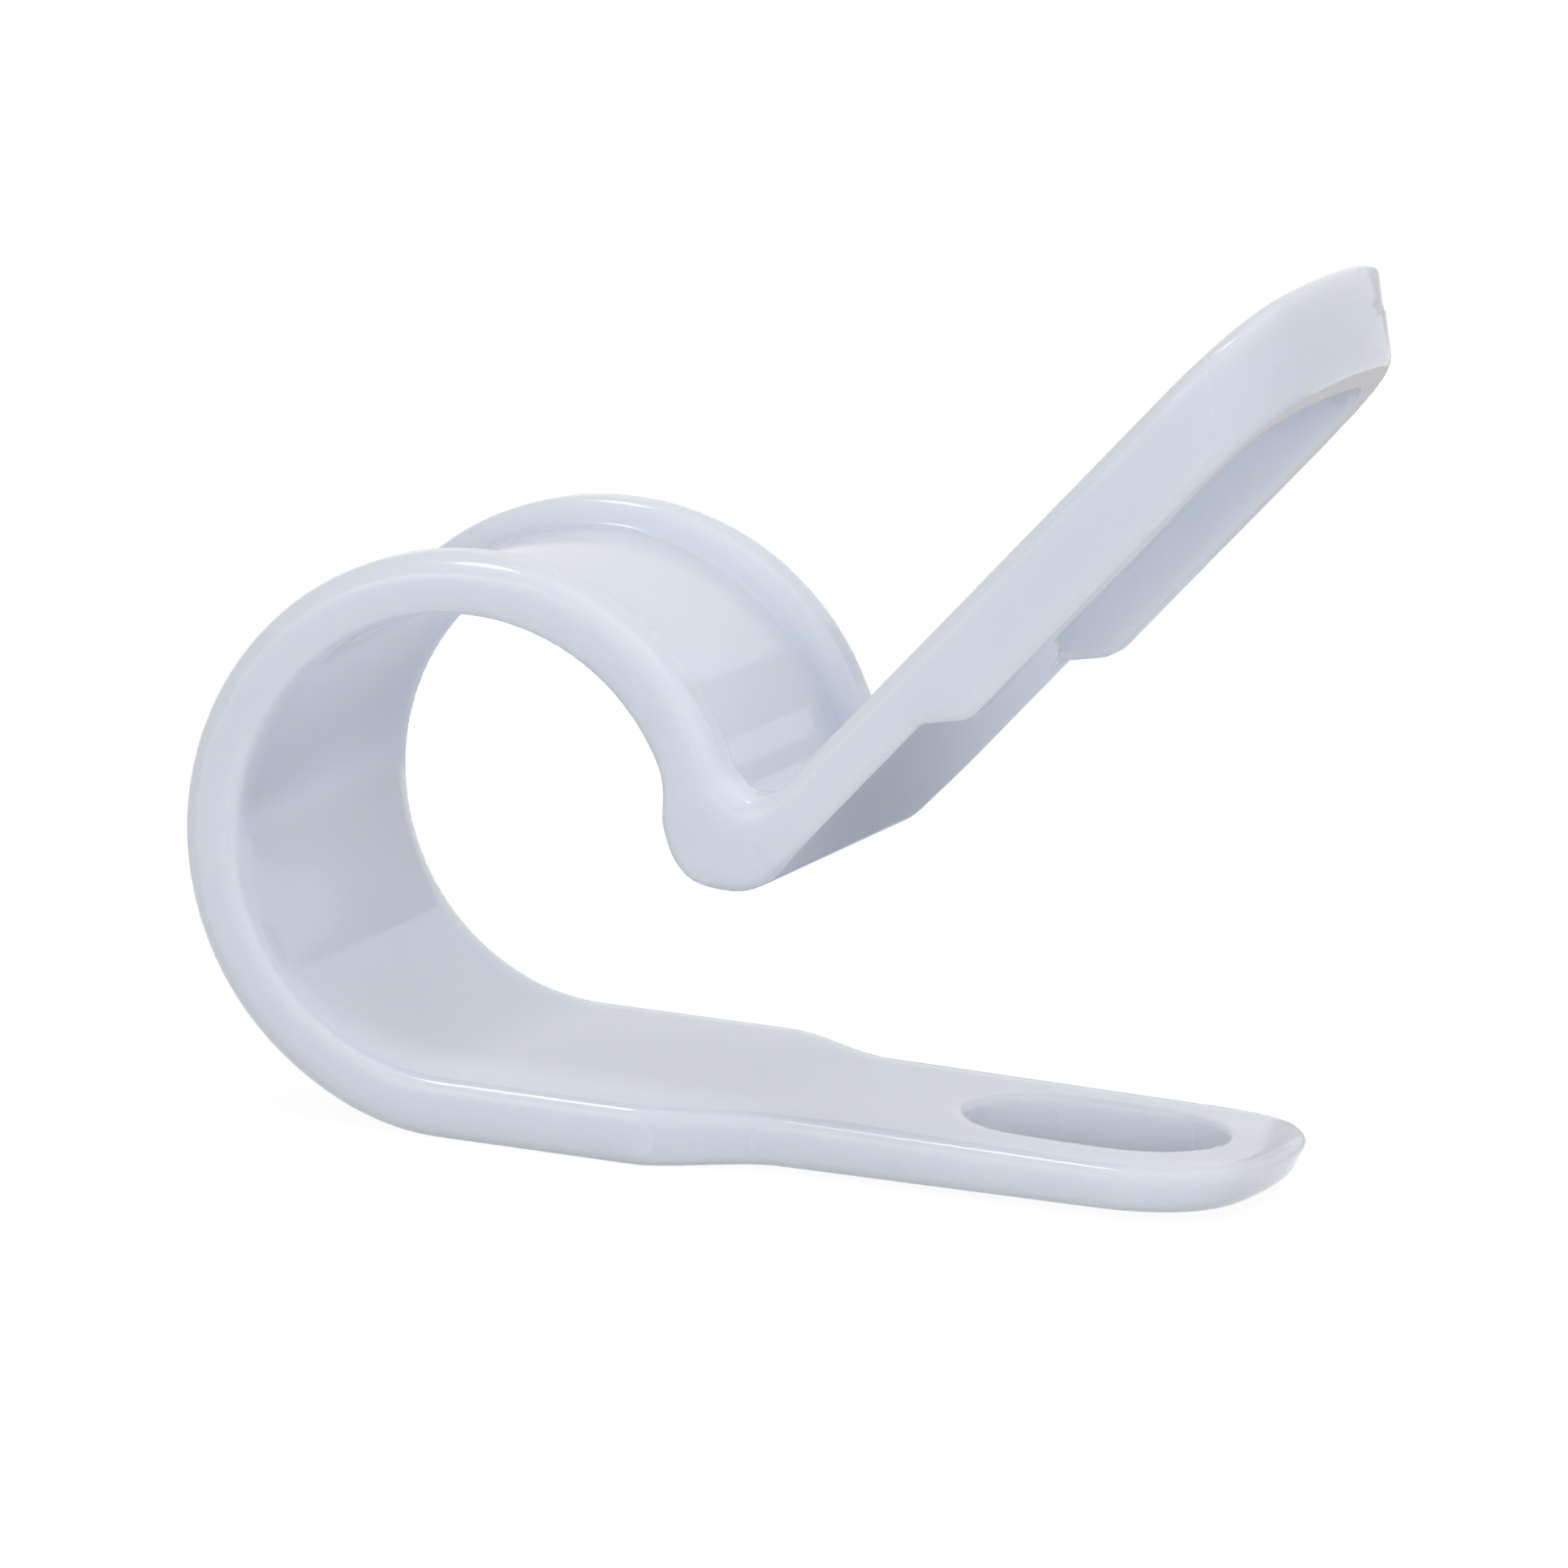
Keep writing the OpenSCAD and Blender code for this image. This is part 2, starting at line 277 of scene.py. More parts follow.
class NylonLook(bpy.types.PropertyGroup):
    """Colours and gloss of the natural nylon."""

    milky: colour("Milky nylon", "Colour of the nylon between its streaks", (0.80, 0.825, 0.885))
    cloudy: colour("Cloudy nylon", "Colour of the cloudy streaks in the nylon", (0.75, 0.78, 0.85))
    gloss: share("Roughness", "Roughness of the faces from the polished mould halves", 0.05)
    side_gloss: share("Side roughness", "Roughness of the side faces", 0.28)
    depth: length("Light depth", "How deep light spreads inside the nylon", 1.1)


class StudioLook(bpy.types.PropertyGroup):
    """Camera and light of the studio."""

    azimuth: angle("Azimuth", "Camera's turn about the upright axis, from the front", 19.974)
    elevation: angle("Elevation", "Camera's angle above the floor", 10.89)
    roll: angle("Roll", "Camera's turn about its own line of sight", 3.54)
    distance: length("Distance", "Distance from the camera to its target", 319.8)
    lens: FloatProperty(
        name="Lens", description="Focal length in millimetres", default=341.55, unit="CAMERA"
    )
    fill: share("Fill light", "Strength of the light from all round", 0.25)


class Number:
    """A number in a node tree. Reckoning with it adds the nodes that work the result out."""

    def __init__(self, tree, socket):
        self.tree = tree
        self.socket = socket

    def __add__(self, other):
        return reckon("ADD", self, other)

    def __radd__(self, other):
        return reckon("ADD", self, other)

    def __sub__(self, other):
        return reckon("SUBTRACT", self, other)

    def __rsub__(self, other):
        return reckon("SUBTRACT", other, self)

    def __mul__(self, other):
        return reckon("MULTIPLY", self, other)

    def __rmul__(self, other):
        return reckon("MULTIPLY", self, other)

    def __truediv__(self, other):
        return reckon("DIVIDE", self, other)

    def __rtruediv__(self, other):
        return reckon("DIVIDE", other, self)

    def __neg__(self):
        return reckon("MULTIPLY", self, -1.0)

    def __abs__(self):
        return reckon("ABSOLUTE", self)


def feed(tree, socket, value):
    """Links a number to a socket, or sets a plain value on it."""
    if isinstance(value, Number):
        tree.links.new(value.socket, socket)
    else:
        socket.default_value = value


def reckon(operation, *values):
    """One sum on numbers of a node tree."""
    tree = next(value.tree for value in values if isinstance(value, Number))
    node = tree.nodes.new("ShaderNodeMath")
    node.operation = operation
    for socket, value in zip(node.inputs, values):
        feed(tree, socket, value)
    return Number(tree, node.outputs[0])


def larger(a, b):
    """The larger of a and b."""
    return reckon("MAXIMUM", a, b)


def smaller(a, b):
    """The smaller of a and b."""
    return reckon("MINIMUM", a, b)


def root(a):
    """The square root of a."""
    return reckon("SQRT", a)


def hypot(a, b):
    """Length of the longest side of a right triangle."""
    return root(a * a + b * b)


def above(a, b):
    """1 where a is above b, and 0 elsewhere."""
    return reckon("GREATER_THAN", a, b)


def choose(mask, yes, no):
    """yes where the mask is 1, no where it is 0."""
    return no + mask * (yes - no)


def rise(value, start, end):
    """Rises smoothly from 0 at start to 1 at end."""
    tree = value.tree
    node = tree.nodes.new("ShaderNodeMapRange")
    node.interpolation_type = "SMOOTHSTEP"
    for name, number in (("Value", value), ("From Min", start), ("From Max", end)):
        feed(tree, node.inputs[name], number)
    return Number(tree, node.outputs["Result"])


def rounded(a, b, r):
    """Distance to the shape inside both a and b, its outer edges rounded by r."""
    a, b = a + r, b + r
    return hypot(larger(a, 0.0), larger(b, 0.0)) - r + smaller(larger(a, b), 0.0)


def filleted(a, b, r):
    """Distance to the shape inside a or b, its inner corners filled up to r away."""
    fill = hypot(larger(r - a, 0.0), larger(r - b, 0.0))
    return larger(smaller(a, b), r) - fill


def hollowed(body, hole, r):
    """Distance to a body with a hole in it, whose rim is rounded over about r."""
    return smooth_larger(body, -hole, r)


def smooth_smaller(a, b, r):
    """The smaller of a and b, with a soft change from one to the other over about r."""
    return reckon("SMOOTH_MIN", a, b, r)


def smooth_larger(a, b, r):
    """The larger of a and b, with a soft change from one to the other over about r."""
    return reckon("SMOOTH_MAX", a, b, r)


def leg_plan(reach, across, end, width, corner_r, end_r):
    """Distance to a leg's outline from above: straight sides, soft corners, an arc at its end."""
    soft_r = CORNER_REACH * corner_r
    past_end = reach + across * across / (2.0 * end_r) - end + soft_r
    past_side = across - 0.5 * width + soft_r
    powers = [reckon("POWER", larger(part, 0.0), CORNER_POWER) for part in (past_end, past_side)]
    corner = reckon("POWER", powers[0] + powers[1], 1.0 / CORNER_POWER)
    return corner - soft_r + smaller(larger(past_end, past_side), 0.0)


def clamp_distance(place, s):
    """Distance, in millimetres, from a place to the surface of the clamp, negative inside."""
    tree = place.tree
    split = tree.nodes.new("ShaderNodeSeparateXYZ")
    tree.links.new(place.socket, split.inputs[0])
    x, y, z = (Number(tree, socket) for socket in split.outputs)
    outer_r = s.loop_r + s.strap_t
    x = x + s.slot_at
    up = z
    z = z - outer_r
    y = abs(y)

    # The lower leg lies straight on the panel from under the loop's centre
    right = above(x, 0.0)
    low = right * above(LEG_LEVEL, z)
    narrow = rise(x, s.neck_at, s.neck_at + s.neck_len)
    tapered = larger(x - s.neck_at - s.neck_len, 0.0) * reckon("TANGENT", s.foot_taper)
    foot_low = s.foot_rise * narrow + tapered
    foot_top = s.strap_t + (s.foot_rise + s.foot_t - s.strap_t) * narrow - tapered
    foot_wide = s.strap_w - 2.0 * s.foot_inset * narrow

    # The loop, with a channel between two rims round its outside
    wall = 0.5 * s.strap_w - s.rim_w
    in_channel = 1.0 - rise(y, wall - 0.5 * s.rim_slope, wall + 0.5 * s.rim_slope)
    runs = 1.0 - above(0.0, z) * rise(x, -s.channel_fade, 0.0)
    rim = outer_r - s.channel_depth * in_channel * runs
    reach = choose(low, -z, hypot(x, z))
    wide = choose(low, foot_wide, s.strap_w)
    near_edge = larger(y - 0.5 * wide + s.crown_w, 0.0) / s.crown_w
    inside = choose(low, outer_r - foot_top, s.loop_r) + s.crown * near_edge * near_edge
    outside = choose(low, outer_r - foot_low, rim)
    strap = abs(reach - 0.5 * (inside + outside)) - 0.5 * (outside - inside)
    cut_in = s.mouth_angle + MOUTH_IN
    cut_out = s.mouth_angle - MOUTH_OUT
    in_x, in_z = s.loop_r * reckon("COSINE", cut_in), s.loop_r * reckon("SINE", cut_in)
    cut_x = outer_r * reckon("COSINE", cut_out) - in_x
    cut_z = outer_r * reckon("SINE", cut_out) - in_z
    past_mouth = (cut_z * (x - in_x) - cut_x * (z - in_z)) / hypot(cut_x, cut_z)
    strap = larger(strap, choose(right * (1.0 - low), past_mouth, DEEP_INSIDE))

    # The upper leg, measured along it and down from its top face
    cos_leg, sin_leg = reckon("COSINE", s.leg_angle), reckon("SINE", s.leg_angle)
    from_x = x - outer_r * reckon("COSINE", s.mouth_angle)
    from_z = z - outer_r * reckon("SINE", s.mouth_angle)
    along = from_x * cos_leg + from_z * sin_leg
    down = from_x * sin_leg - from_z * cos_leg
    leg_start = LEG_ROOT_LEAN * down / s.leg_t - LEG_ROOT_BACK
    leg = larger(abs(down - 0.5 * s.leg_t) - 0.5 * s.leg_t, leg_start - along)

    # The round nose under the bend
    leg_below = outer_r * reckon("SINE", s.leg_angle - s.mouth_angle)
    nose_reach = s.loop_r - s.nose_swell + s.nose_r
    nose_deep = leg_below + s.leg_t - s.nose_r
    nose_along = root(nose_reach * nose_reach - nose_deep * nose_deep)
    nose_x = x - nose_along * cos_leg - nose_deep * sin_leg
    nose_z = z - nose_along * sin_leg + nose_deep * cos_leg
    halfway = 0.5 * (s.leg_angle + s.mouth_angle) + math.radians(45.0)
    nose_up = nose_x * reckon("COSINE", halfway) + nose_z * reckon("SINE", halfway)
    nose = larger(hypot(nose_x, nose_z) - s.nose_r, nose_up - NOSE_ROOF)
    valley_r = s.valley_r * (1.0 - rise(down, *VALLEY_FADE)) + VALLEY_LEAST
    side = smaller(filleted(strap, leg, valley_r), smooth_smaller(strap, nose, NOSE_BLEND))

    # Outlines from above, with end walls that lean back downwards
    foot_peak = s.foot_rise + s.foot_t - s.end_edge
    foot_reach = x + larger(foot_peak - up, 0.0) * reckon("TANGENT", s.foot_lean)
    foot_plan = leg_plan(foot_reach, y, s.foot_end, foot_wide, s.foot_corner_r, s.foot_end_r)
    parting = rise(down, s.parting_at - PARTING_SOFT, s.parting_at + PARTING_SOFT) * s.parting_step
    tip_reach = along + larger(down - s.end_edge, 0.0) * reckon("TANGENT", s.tip_lean) - parting
    tip_plan = leg_plan(tip_reach, y, s.leg_len, s.strap_w, s.tip_corner_r, s.tip_end_r)
    plan = choose(low, foot_plan, tip_plan)
    on_leg = rise(along, *LEG_EDGE_RUN) * (1.0 - low)
    middle = 0.5 * (s.loop_r + outer_r)
    on_rim = rise(hypot(x, z), middle - RIM_EDGE_RUN, middle + RIM_EDGE_RUN)
    on_foot = above(LEG_LEVEL, z) * rise(x, *FOOT_EDGE_RUN)
    leg_edge_r = choose(rise(down, *LIP_EDGE_RUN), s.lip_edge_r, s.leg_edge_r)
    edge_r = choose(on_rim, s.rim_edge_r, s.edge_r)
    edge_r = choose(on_foot, s.foot_edge_r, edge_r)
    edge_r = choose(on_leg, leg_edge_r, edge_r)
    body = rounded(side, plan, edge_r)

    # The pocket under the upper leg starts at an arc, and a lip runs round it
    lip_t = s.leg_t + s.lip_drop
    slope = s.leg_t + (along - s.lip_at) * s.lip_drop / s.lip_slope
    lip_deep = smooth_smaller(slope, lip_t, LIP_END_BLEND)
    lip_deep = smooth_larger(lip_deep, s.leg_t, LIP_START_BLEND)
    lip = larger(abs(down - 0.5 * lip_deep) - 0.5 * lip_deep, s.lip_at - LIP_LEAD - along)
    lip = rounded(lip, tip_plan, leg_edge_r)
    within = leg_plan(along, y, s.pocket_end, s.pocket_w, s.pocket_corner_r, s.tip_end_r)
    before_arc = s.pocket_start_r - hypot(along - s.lip_at - s.pocket_bow + s.pocket_start_r, y)
    start = larger(s.lip_at - along, before_arc)
    pocket_deep = larger(s.pocket_t - down, down - POCKET_REACH)
    pocket = smooth_larger(larger(within, start), pocket_deep, POCKET_FLOOR_BLEND)
    between_lips = larger(within, s.lip_at - LIP_GAP_LEAD - along)
    lip = hollowed(lip, smaller(pocket, between_lips), POCKET_RIM)
    body = smaller(hollowed(body, pocket, POCKET_RIM), lip)

    # The hole through the upper leg and the slot in the foot
    hole = larger(hypot(along - s.hole_at, y) - 0.5 * s.screw_d, abs(down) - HOLE_REACH)
    body = hollowed(body, hole, s.hole_rim)
    half_slot = 0.5 * (s.slot_len - s.screw_d)
    slot = hypot(larger(abs(x - s.slot_at) - half_slot, 0.0), y) - 0.5 * s.screw_d
    return hollowed(body, larger(slot, z - SLOT_LEVEL), s.hole_rim)


def size_sockets(tree):
    """Gives a tree one named input for each size, and returns the sizes' keys in that order."""
    keys = []
    for key in ClampSizes.__annotations__:
        prop = bpy.context.scene.clamp_sizes.bl_rna.properties[key]
        socket = tree.interface.new_socket(
            name=prop.name, in_out="INPUT", socket_type="NodeSocketFloat"
        )
        socket.subtype = "ANGLE" if prop.subtype == "ANGLE" else "DISTANCE"
        socket.default_value = prop.default
        keys.append(key)
    return keys


def distance_tree():
    """A node group that gives the distance from a place to the clamp's surface, in millimetres."""
    tree = bpy.data.node_groups.new("Distance to the clamp", "GeometryNodeTree")
    tree.interface.new_socket(name="Place", in_out="INPUT", socket_type="NodeSocketVector")
    keys = size_sockets(tree)
    tree.interface.new_socket(name="Distance", in_out="OUTPUT", socket_type="NodeSocketFloat")
    given = tree.nodes.new("NodeGroupInput")
    sizes = {}
    for key, socket in zip(keys, given.outputs[1:]):
        size = Number(tree, socket)
        is_angle = bpy.context.scene.clamp_sizes.bl_rna.properties[key].subtype == "ANGLE"
        sizes[key] = size if is_angle else size / MM
    distance = clamp_distance(Number(tree, given.outputs["Place"]), SimpleNamespace(**sizes))
    out = tree.nodes.new("NodeGroupOutput")
    tree.links.new(distance.socket, out.inputs["Distance"])
    return tree


def clamp_tree():
    """A node group that draws the clamp's surface where the distance to it is nothing."""
    inner = distance_tree()
    tree = bpy.data.node_groups.new("Moulded clamp", "GeometryNodeTree")
    tree.is_modifier = True
    keys = size_sockets(tree)
    tree.interface.new_socket(name="Material", in_out="INPUT", socket_type="NodeSocketMaterial")
    tree.interface.new_socket(name="Geometry", in_out="OUTPUT", socket_type="NodeSocketGeometry")
    given = tree.nodes.new("NodeGroupInput")
    out = tree.nodes.new("NodeGroupOutput")
    where = tree.nodes.new("GeometryNodeInputPosition").outputs[0]

    def distance(place):
        node = tree.nodes.new("GeometryNodeGroup")
        node.node_tree = inner
        tree.links.new(place, node.inputs["Place"])
        for index in range(len(keys)):
            tree.links.new(given.outputs[index], node.inputs[index + 1])
        return Number(tree, node.outputs["Distance"])

    def moved(by):
        node = tree.nodes.new("ShaderNodeVectorMath")
        tree.links.new(where, node.inputs[0])
        node.inputs[1].default_value = by
        return node.outputs[0]

    # A block of cells a little larger than the clamp, in millimetres
    margin = 0.3
    low = [value / MM - margin for value in lowest]
    high = [value / MM + margin for value in highest]
    cube = tree.nodes.new("GeometryNodeVolumeCube")
    cube.inputs["Min"].default_value = low
    cube.inputs["Max"].default_value = high
    cell = Number(tree, given.outputs["Mesh cell"]) / MM
    for name, a, b in zip(("Resolution X", "Resolution Y", "Resolution Z"), low, high):
        feed(tree, cube.inputs[name], reckon("CEIL", (b - a) / cell))
    skin_level = 1.0
    feed(tree, cube.inputs["Density"], skin_level - distance(where))
    cube.inputs["Background"].default_value = 0.0
    skin = tree.nodes.new("GeometryNodeVolumeToMesh")
    tree.links.new(cube.outputs[0], skin.inputs["Volume"])
    skin.inputs["Threshold"].default_value = skin_level
    skin.inputs["Adaptivity"].default_value = 0.0

    # Each point then moves straight onto the surface
    step = 0.01
    least_steep = 0.2
    here = distance(where)
    slope = []
    for axis in range(3):
        by = [0.0, 0.0, 0.0]
        by[axis] = step
        back = [-value for value in by]
        slope.append((distance(moved(by)) - distance(moved(back))) / (2.0 * step))
    steep = slope[0] * slope[0] + slope[1] * slope[1] + slope[2] * slope[2]
    shift = tree.nodes.new("ShaderNodeCombineXYZ")
    for socket, part in zip(shift.inputs, slope):
        feed(tree, socket, -here * part / larger(steep, least_steep))
    settle = tree.nodes.new("GeometryNodeSetPosition")
    tree.links.new(skin.outputs["Mesh"], settle.inputs["Geometry"])
    tree.links.new(shift.outputs[0], settle.inputs["Offset"])

    # The side faces are marked, because the mould's sides are less polished
    split = tree.nodes.new("ShaderNodeSeparateXYZ")
    tree.links.new(tree.nodes.new("GeometryNodeInputNormal").outputs[0], split.inputs[0])
    mark = tree.nodes.new("GeometryNodeStoreNamedAttribute")
    mark.inputs["Name"].default_value = "side_face"
    feed(tree, mark.inputs["Value"], abs(Number(tree, split.outputs["Y"])))

    shrink = tree.nodes.new("GeometryNodeTransform")
    shrink.inputs["Scale"].default_value = (MM, MM, MM)
    smooth = tree.nodes.new("GeometryNodeSetShadeSmooth")
    realize = tree.nodes.new("GeometryNodeRealizeInstances")
    paint = tree.nodes.new("GeometryNodeSetMaterial")
    chain = [settle, mark, shrink, smooth, realize, paint, out]
    for a, b in zip(chain, chain[1:]):
        tree.links.new(a.outputs["Geometry"], b.inputs["Geometry"])
    tree.links.new(given.outputs["Material"], paint.inputs["Material"])
    return tree


def shader_node(tree, kind, **settings):
    """A node of a material or the world, with its plain settings."""
    node = tree.nodes.new(kind)
    for name, value in settings.items():
        setattr(node, name, value)
    return node


def natural_nylon():
    """Milky natural nylon: light spreads inside it, and a polished mould gave it a soft gloss."""
    look = bpy.context.scene.nylon_look
    material = bpy.data.materials.new("natural_nylon")
    material.use_nodes = True
    tree = material.node_tree
    shader = tree.nodes["Principled BSDF"]
    place = shader_node(tree, "ShaderNodeTexCoord").outputs["Object"]
    side = shader_node(tree, "ShaderNodeAttribute", attribute_name="side_face").outputs["Fac"]

    def noise(scale, detail):
        node = shader_node(tree, "ShaderNodeTexNoise")
        node.inputs["Scale"].default_value = scale
        node.inputs["Detail"].default_value = detail
        tree.links.new(place, node.inputs["Vector"])
        return node.outputs["Fac"]

    def by_side(polished, dull):
        node = shader_node(tree, "ShaderNodeMapRange")
        node.inputs["From Min"].default_value = SIDE_STARTS
        node.inputs["To Min"].default_value = polished
        node.inputs["To Max"].default_value = dull
        tree.links.new(side, node.inputs["Value"])
        return node.outputs["Result"]

    clouds = shader_node(tree, "ShaderNodeMix", data_type="RGBA")
    clouds.inputs["A"].default_value = (*look.milky, 1.0)
    clouds.inputs["B"].default_value = (*look.cloudy, 1.0)
    tree.links.new(noise(scale=CLOUD_SCALE, detail=3.0), clouds.inputs["Factor"])
    tree.links.new(clouds.outputs["Result"], shader.inputs["Base Color"])

    uneven = shader_node(tree, "ShaderNodeMath", operation="MULTIPLY_ADD")
    uneven.inputs[1].default_value = GLOSS_UNEVEN
    tree.links.new(noise(scale=GLOSS_SCALE, detail=2.0), uneven.inputs[0])
    tree.links.new(by_side(polished=look.gloss, dull=look.side_gloss), uneven.inputs[2])
    tree.links.new(uneven.outputs[0], shader.inputs["Roughness"])

    grain = shader_node(tree, "ShaderNodeBump")
    grain.inputs["Distance"].default_value = GRAIN_DEPTH
    tree.links.new(by_side(polished=GRAIN_POLISHED, dull=GRAIN_DULL), grain.inputs["Strength"])
    tree.links.new(noise(scale=GRAIN_SCALE, detail=2.0), grain.inputs["Height"])
    tree.links.new(grain.outputs["Normal"], shader.inputs["Normal"])

    shader.inputs["IOR"].default_value = NYLON_IOR
    shader.inputs["Subsurface Weight"].default_value = 1.0
    shader.inputs["Subsurface Radius"].default_value = NYLON_SPREAD
    shader.inputs["Subsurface Scale"].default_value = look.depth
    return material


def place_object(name, data):
    """A new object at the origin, linked to the scene."""
    item = bpy.data.objects.new(name, data)
    bpy.context.scene.collection.objects.link(item)
    return item


class CLAMP_OT_strap(bpy.types.Operator):
    """Builds the moulded strap with its loop, legs, pocket, slot and hole"""

    bl_idname = "clamp.strap"
    bl_label = "Build the clamp"

    def execute(self, context):
        tree = clamp_tree()
        draft = place_object("clamp_draft", bpy.data.meshes.new("clamp_draft"))
        modifier = draft.modifiers.new("Moulded clamp", "NODES")
        modifier.node_group = tree
        inputs = [item for item in tree.interface.items_tree if item.in_out == "INPUT"]
        sizes = context.scene.clamp_sizes
        for key, socket in zip(ClampSizes.__annotations__, inputs):
            modifier[socket.identifier] = getattr(sizes, key)
        modifier[inputs[-1].identifier] = natural_nylon()
        evaluated = draft.evaluated_get(context.evaluated_depsgraph_get())
        mesh = bpy.data.meshes.new_from_object(evaluated)
        bpy.data.objects.remove(draft)
        if not mesh.polygons:
            raise RuntimeError("the clamp's surface came out empty")
        mesh.name = "moulded_strap"
        strap = place_object("moulded_strap", mesh)
        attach(strap, "root")
        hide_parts("clamp")
        return {"FINISHED"}


def seen_directly(tree):
    """1 for what the camera sees, straight or by way of gloss or glass, and 0 for other light."""
    path = shader_node(tree, "ShaderNodeLightPath")
    seen = path.outputs["Is Camera Ray"]
    for name in ("Is Glossy Ray", "Is Transmission Ray"):
        either = shader_node(tree, "ShaderNodeMath", operation="MAXIMUM")
        tree.links.new(seen, either.inputs[0])
        tree.links.new(path.outputs[name], either.inputs[1])
        seen = either.outputs[0]
    return seen


def white_world(fill):
    """A world that looks white, and lights a little more from one side than from the other."""
    world = bpy.data.worlds.new("studio_world")
    bpy.context.scene.world = world
    world.use_nodes = True
    tree = world.node_tree
    light = tree.nodes["Background"]
    across = shader_node(tree, "ShaderNodeTexCoord").outputs["Generated"]
    slant = shader_node(tree, "ShaderNodeVectorMath", operation="DOT_PRODUCT")
    slant.inputs[1].default_value = Vector(WORLD_SIDE).normalized()
    tree.links.new(across, slant.inputs[0])
    strength = shader_node(tree, "ShaderNodeMapRange")
    strength.inputs["From Min"].default_value = -1.0
    strength.inputs["To Min"].default_value = WORLD_LEAST * fill
    strength.inputs["To Max"].default_value = WORLD_MOST * fill
    tree.links.new(slant.outputs["Value"], strength.inputs["Value"])
    tree.links.new(strength.outputs["Result"], light.inputs["Strength"])
    light.inputs["Color"].default_value = WORLD_TINT
    white = shader_node(tree, "ShaderNodeBackground")
    white.inputs["Color"].default_value = WHITE
    mix = shader_node(tree, "ShaderNodeMixShader")
    tree.links.new(seen_directly(tree), mix.inputs["Fac"])
    tree.links.new(light.outputs[0], mix.inputs[1])
    tree.links.new(white.outputs[0], mix.inputs[2])
    tree.links.new(mix.outputs[0], tree.nodes["World Output"].inputs["Surface"])


def soft_lamp(name, at, size, watts, tint, in_gloss):
    """A large oblong lamp that shines at the clamp."""
    lamp = bpy.data.lights.new(name, "AREA")
    lamp.shape = "RECTANGLE"
    lamp.size, lamp.size_y = size
    lamp.energy = watts
    lamp.color = tint
    item = place_object(name, lamp)
    item.location = at
    item.rotation_euler = (Vector(LAMP_AIM) - Vector(at)).to_track_quat("-Z", "Y").to_euler()
    item.visible_glossy = in_gloss


def four_corners(name, corners):
    """An object of one face with four corners, and a new material on it."""
    mesh = bpy.data.meshes.new(name)
    mesh.from_pydata(corners, [], [(0, 1, 2, 3)])
    material = bpy.data.materials.new(name)
    material.use_nodes = True
    mesh.materials.append(material)
    return place_object(name, mesh), material.node_tree


def reflection_card(name, at, corners, shade, middle=None, spread=None):
    """A glowing card that shows only in gloss, and so paints reflections: grey patches where a
    room's darker parts would show.

    It has one shade all over, or a darker one at its middle, a painted shadow that fades out over
    the spread.
    """
    card, tree = four_corners(name, corners)
    glow = shader_node(tree, "ShaderNodeEmission")
    glow.inputs["Color"].default_value = (*shade, 1.0)
    tree.links.new(glow.outputs[0], tree.nodes["Material Output"].inputs["Surface"])
    # A darker middle paints the clamp's shadow on the floor into the reflections
    if middle:
        place = shader_node(tree, "ShaderNodeTexCoord").outputs["Object"]
        away = shader_node(tree, "ShaderNodeVectorMath", operation="LENGTH")
        tree.links.new(place, away.inputs[0])
        fade = shader_node(tree, "ShaderNodeMapRange", interpolation_type="SMOOTHSTEP")
        fade.inputs["From Max"].default_value = spread
        tree.links.new(away.outputs["Value"], fade.inputs["Value"])
        tone = shader_node(tree, "ShaderNodeMix", data_type="RGBA")
        tone.inputs["A"].default_value = (*middle, 1.0)
        tone.inputs["B"].default_value = (*shade, 1.0)
        tree.links.new(fade.outputs["Result"], tone.inputs["Factor"])
        tree.links.new(tone.outputs["Result"], glow.inputs["Color"])
    card.location = at
    card.visible_camera = False
    card.visible_diffuse = False
    card.visible_transmission = False
    card.visible_shadow = False


def studio_floor():
    """A pale floor under the clamp, which looks white and takes a faint shadow."""
    half = FLOOR_HALF
    corners = [(-half, -half, 0.0), (half, -half, 0.0), (half, half, 0.0), (-half, half, 0.0)]
    floor, tree = four_corners("studio_floor", corners)
    floor.location.z = lowest.z - FLOOR_GAP
    matt = tree.nodes["Principled BSDF"]
    matt.inputs["Roughness"].default_value = 1.0
    matt.inputs["Specular IOR Level"].default_value = 0.0
    seen = seen_directly(tree)
    tone = shader_node(tree, "ShaderNodeMix", data_type="RGBA")
    tone.inputs["A"].default_value = FLOOR_TONE
    tone.inputs["B"].default_value = WHITE
    tree.links.new(seen, tone.inputs["Factor"])
    tree.links.new(tone.outputs["Result"], matt.inputs["Base Color"])
    white = shader_node(tree, "ShaderNodeEmission")
    white.inputs["Strength"].default_value = FLOOR_GLOW
    glow = shader_node(tree, "ShaderNodeMath", operation="MULTIPLY")
    glow.inputs[1].default_value = FLOOR_GLOW_SHARE
    tree.links.new(seen, glow.inputs[0])
    mix = shader_node(tree, "ShaderNodeMixShader")
    tree.links.new(glow.outputs[0], mix.inputs["Fac"])
    tree.links.new(matt.outputs[0], mix.inputs[1])
    tree.links.new(white.outputs[0], mix.inputs[2])
    tree.links.new(mix.outputs[0], tree.nodes["Material Output"].inputs["Surface"])


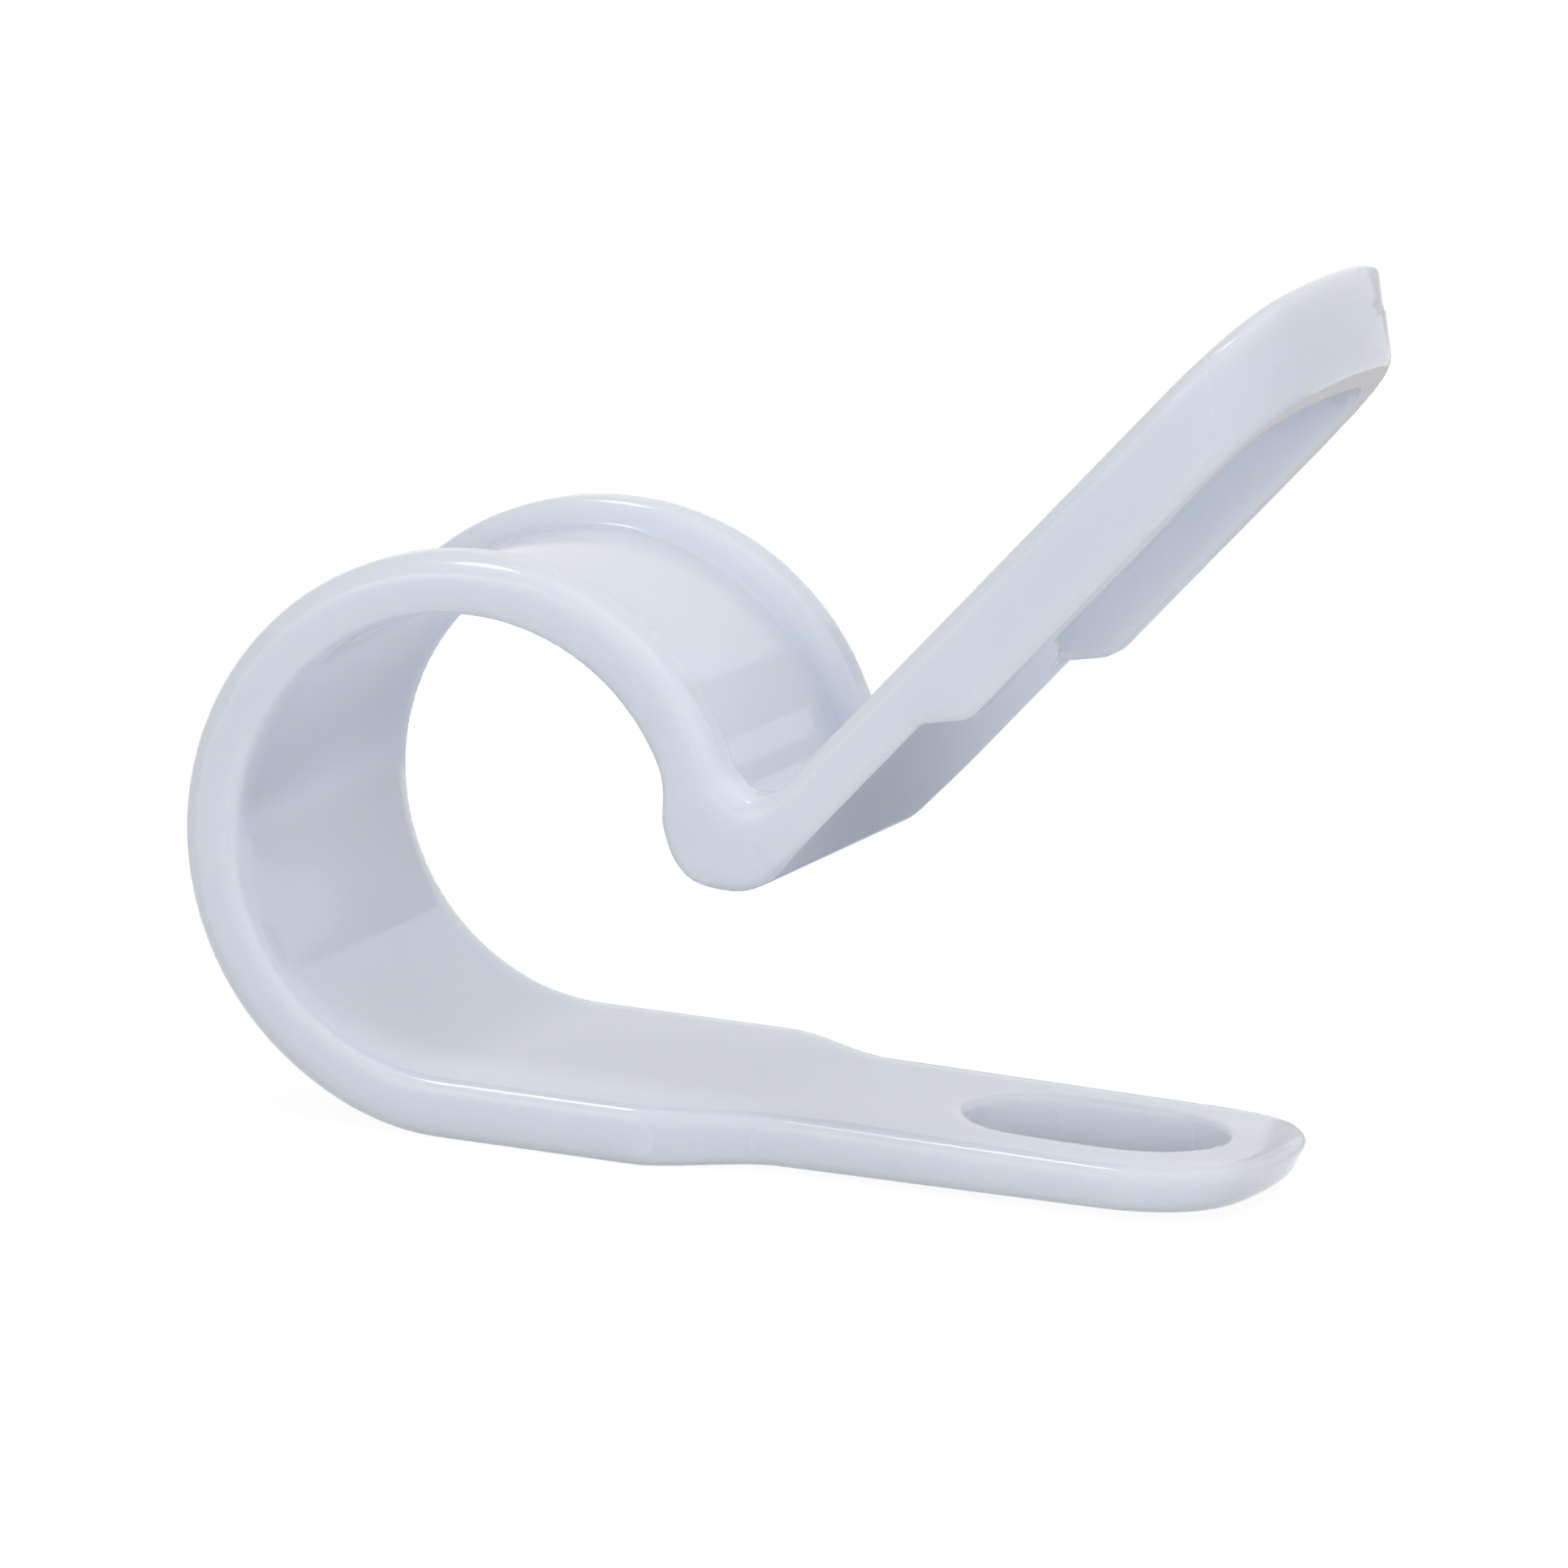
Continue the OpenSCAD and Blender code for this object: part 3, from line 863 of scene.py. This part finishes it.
def studio_camera(look):
    """A camera at the angle of the photograph."""
    level = math.cos(look.elevation)
    back = Vector((
        math.sin(look.azimuth) * level, -math.cos(look.azimuth) * level, math.sin(look.elevation)
    ))
    right = Vector((math.cos(look.azimuth), math.sin(look.azimuth), 0.0))
    up = back.cross(right)
    turned_right = math.cos(look.roll) * right + math.sin(look.roll) * up
    turned_up = math.cos(look.roll) * up - math.sin(look.roll) * right
    data = bpy.data.cameras.new("studio_camera")
    data.sensor_width = 36.0
    data.lens = look.lens
    data.clip_start = 0.01
    data.clip_end = 20.0
    camera = place_object("studio_camera", data)
    turn = Matrix((turned_right, turned_up, back)).transposed()
    at = Vector(CAMERA_TARGET) + back * look.distance
    camera.matrix_world = Matrix.Translation(at) @ turn.to_4x4()
    bpy.context.scene.camera = camera


class CLAMP_OT_stage(bpy.types.Operator):
    """Sets up the floor, the light and the camera"""

    bl_idname = "clamp.stage"
    bl_label = "Set up the studio"

    def execute(self, context):
        look = context.scene.studio_look
        context.scene.view_settings.view_transform = "Standard"
        white_world(look.fill)
        studio_floor()
        for lamp in LAMPS:
            soft_lamp(*lamp)
        # The floor card paints the floor's shade and the clamp's shadow into the reflections under
        # the upper leg and inside the loop
        reflection_card(
            "floor_shadow_card", LOW_CARD_AT, LOW_CARD, LOW_CARD_FLOOR_SHADE, LOW_CARD_SHADOW, LOW_CARD_SHADOW_SPREAD
        )
        # The upright cards paint grey reflected patches on the channel and inside the loop
        reflection_card("channel_reflection_card", UPRIGHT_CARD_AT, CHANNEL_CARD, CHANNEL_CARD_SHADE)
        reflection_card("loop_reflection_card", UPRIGHT_CARD_AT, LOOP_CARD, LOOP_CARD_SHADE)
        studio_camera(look)
        return {"FINISHED"}


class CLAMP_PT_panel(bpy.types.Panel):
    """Lists the steps that build the clamp and its studio"""

    bl_idname = "CLAMP_PT_panel"
    bl_label = "Cable clamp"
    bl_space_type = "VIEW_3D"
    bl_region_type = "UI"
    bl_category = "Clamp"

    def draw(self, context):
        for group in ("clamp_sizes", "nylon_look", "studio_look"):
            box = self.layout.box()
            settings = getattr(context.scene, group)
            for key in settings.__annotations__:
                box.prop(settings, key)
        self.layout.operator(CLAMP_OT_strap.bl_idname)
        self.layout.operator(CLAMP_OT_stage.bl_idname)


CLASSES = (ClampSizes, NylonLook, StudioLook, CLAMP_OT_strap, CLAMP_OT_stage, CLAMP_PT_panel)
GROUPS = {"clamp_sizes": ClampSizes, "nylon_look": NylonLook, "studio_look": StudioLook}


def register():
    """Adds the classes to Blender and their settings to the scene."""
    for item in CLASSES:
        bpy.utils.register_class(item)
    for name, group in GROUPS.items():
        setattr(bpy.types.Scene, name, PointerProperty(type=group))


def unregister():
    """Takes the classes and their settings away again."""
    for name in GROUPS:
        delattr(bpy.types.Scene, name)
    for item in reversed(CLASSES):
        bpy.utils.unregister_class(item)


def main():
    """Builds the clamp and its studio."""
    register()
    bpy.ops.clamp.strap()
    bpy.ops.clamp.stage()


if __name__ == "__main__":
    main()
